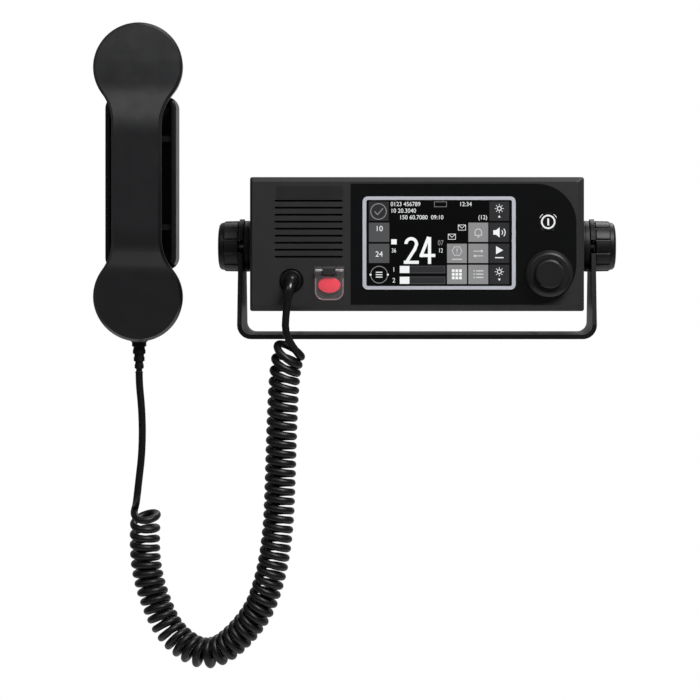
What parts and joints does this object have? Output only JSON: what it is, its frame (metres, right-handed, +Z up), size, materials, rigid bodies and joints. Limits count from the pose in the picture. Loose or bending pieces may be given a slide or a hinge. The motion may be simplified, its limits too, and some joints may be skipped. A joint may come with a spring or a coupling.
{
  "type": "vhf marine radio",
  "caption": "Fixed marine radio with a colour display on a tilting U bracket, a telephone handset in its bulkhead cradle and a hanging curly cord.",
  "frame": {"origin": "centre of the underside of the bracket's base", "axes": "+Z up, +X to the right of someone facing the display, -Y out of the display towards them"},
  "size_m": [0.3533, 0.1142, 0.4363],
  "materials": {
    "bracket_paint": "satin powder coat",
    "case_paint": "satin paint on a casting",
    "bezel_plastic": "fine moulded texture",
    "panel_gloss": "polished",
    "frame_metal": "satin",
    "glass": "polished",
    "inner_plastic": "plain",
    "knob_plastic": "moulded",
    "key_plastic": "polished",
    "red_plastic": "polished",
    "clear_plastic": "clear moulding",
    "washer_plastic": "plain",
    "steel": "turned",
    "rubber": "matt",
    "board": "solder mask",
    "cast_metal": "as cast",
    "plated_brass": "plated",
    "handset_plastic": "fine moulded texture",
    "cradle_plastic": "fine moulded texture",
    "cord_sheath": "satin"
  },
  "bodies": {
    "mount": {"bracket": "bracket_paint", "cradle_body": "cradle_plastic", "cradle_pad_lower": "rubber", "cradle_pad_upper": "rubber", "cord_lead_radio": "cord_sheath", "cord_lead_handset": "cord_sheath", "cord_coil": "cord_sheath"},
    "dial": {"dial_ring": "knob_plastic", "dial_shaft": "steel"},
    "dial_push": {"dial_cap": "knob_plastic"},
    "power": {"power_key": "key_plastic"},
    "call": {"call_button": "red_plastic"},
    "cover": {"call_cover": "clear_plastic"},
    "knob_left": {"clamp_knob_left": "knob_plastic", "clamp_stud_left": "steel"},
    "knob_right": {"clamp_knob_right": "knob_plastic", "clamp_stud_right": "steel"},
    "handset": {"handset_outer": "handset_plastic", "handset_inner": "handset_plastic", "ear_cap": "handset_plastic", "mouth_cap": "handset_plastic", "receiver_capsule": "inner_plastic", "microphone_capsule": "inner_plastic", "handset_boot": "rubber"},
    "ptt": {"ptt_button": "knob_plastic"},
    "radio": {"friction_washer_left": "washer_plastic", "friction_washer_right": "washer_plastic", "front_bezel": "bezel_plastic", "face_panel": "panel_gloss", "display_frame": "frame_metal", "screen_glass": "glass", "display_module": "inner_plastic", "case_shell": "case_paint", "front_gasket": "rubber", "speaker_mesh": "inner_plastic", "speaker_frame": "steel", "speaker_cone": "inner_plastic", "encoder": "inner_plastic", "key_switch": "inner_plastic", "call_switch": "inner_plastic", "cover_hinge": "bezel_plastic", "hinge_pin": "steel", "cord_gland": "knob_plastic", "cord_boot": "rubber", "main_board": "board", "transmitter_module": "cast_metal", "antenna_socket": "plated_brass", "data_socket_1": "knob_plastic", "data_socket_2": "knob_plastic", "data_socket_3": "knob_plastic", "power_socket": "knob_plastic", "ground_terminal": "plated_brass", "case_screw_1": "steel", "case_screw_2": "steel", "case_screw_3": "steel", "case_screw_4": "steel"}
  },
  "joints": [
    {"name": "radio_tilt", "type": "hinge", "parent": "mount", "child": "radio", "pos_m": [0, 0, 0.0623], "axis": [1, 0, 0], "range_deg": [-20, 20], "deforming": ["cord_lead_radio"]},
    {"name": "knob_left_turn", "type": "hinge", "parent": "radio", "child": "knob_left", "pos_m": [-0.1283, 0, 0.0623], "axis": [-1, 0, 0], "range_deg": [0, 360]},
    {"name": "knob_right_turn", "type": "hinge", "parent": "radio", "child": "knob_right", "pos_m": [0.1283, 0, 0.0623], "axis": [1, 0, 0], "range_deg": [0, 360]},
    {"name": "dial_turn", "type": "hinge", "parent": "radio", "child": "dial", "pos_m": [0.088, -0.05, 0.0445], "axis": [0, -1, 0], "continuous": true},
    {"name": "dial_press", "type": "slide", "parent": "dial", "child": "dial_push", "axis": [0, 1, 0], "range_m": [0, 0.0007], "stiffness_N_per_m": 1800, "springref_m": -0.001},
    {"name": "power_press", "type": "slide", "parent": "radio", "child": "power", "axis": [0, 1, 0], "range_m": [0, 0.0008], "stiffness_N_per_m": 1500, "springref_m": -0.001},
    {"name": "call_press", "type": "slide", "parent": "radio", "child": "call", "axis": [0, 1, 0], "range_m": [0, 0.0012], "stiffness_N_per_m": 1500, "springref_m": -0.001},
    {"name": "cover_open", "type": "hinge", "parent": "radio", "child": "cover", "pos_m": [-0.0583, -0.0482, 0.0467], "axis": [-1, 0, 0], "range_deg": [0, 110], "stiffness_Nm_per_rad": 0.002, "springref_deg": -22.92},
    {"name": "handset_lift", "type": "slide", "parent": "mount", "child": "handset", "axis": [0, -1, 0], "range_m": [0, 0.06], "deforming": ["cord_lead_handset"]},
    {"name": "ptt_press", "type": "slide", "parent": "handset", "child": "ptt", "axis": [0, -1, 0], "range_m": [0, 0.0015], "stiffness_N_per_m": 1200, "springref_m": -0.0015}
  ]
}
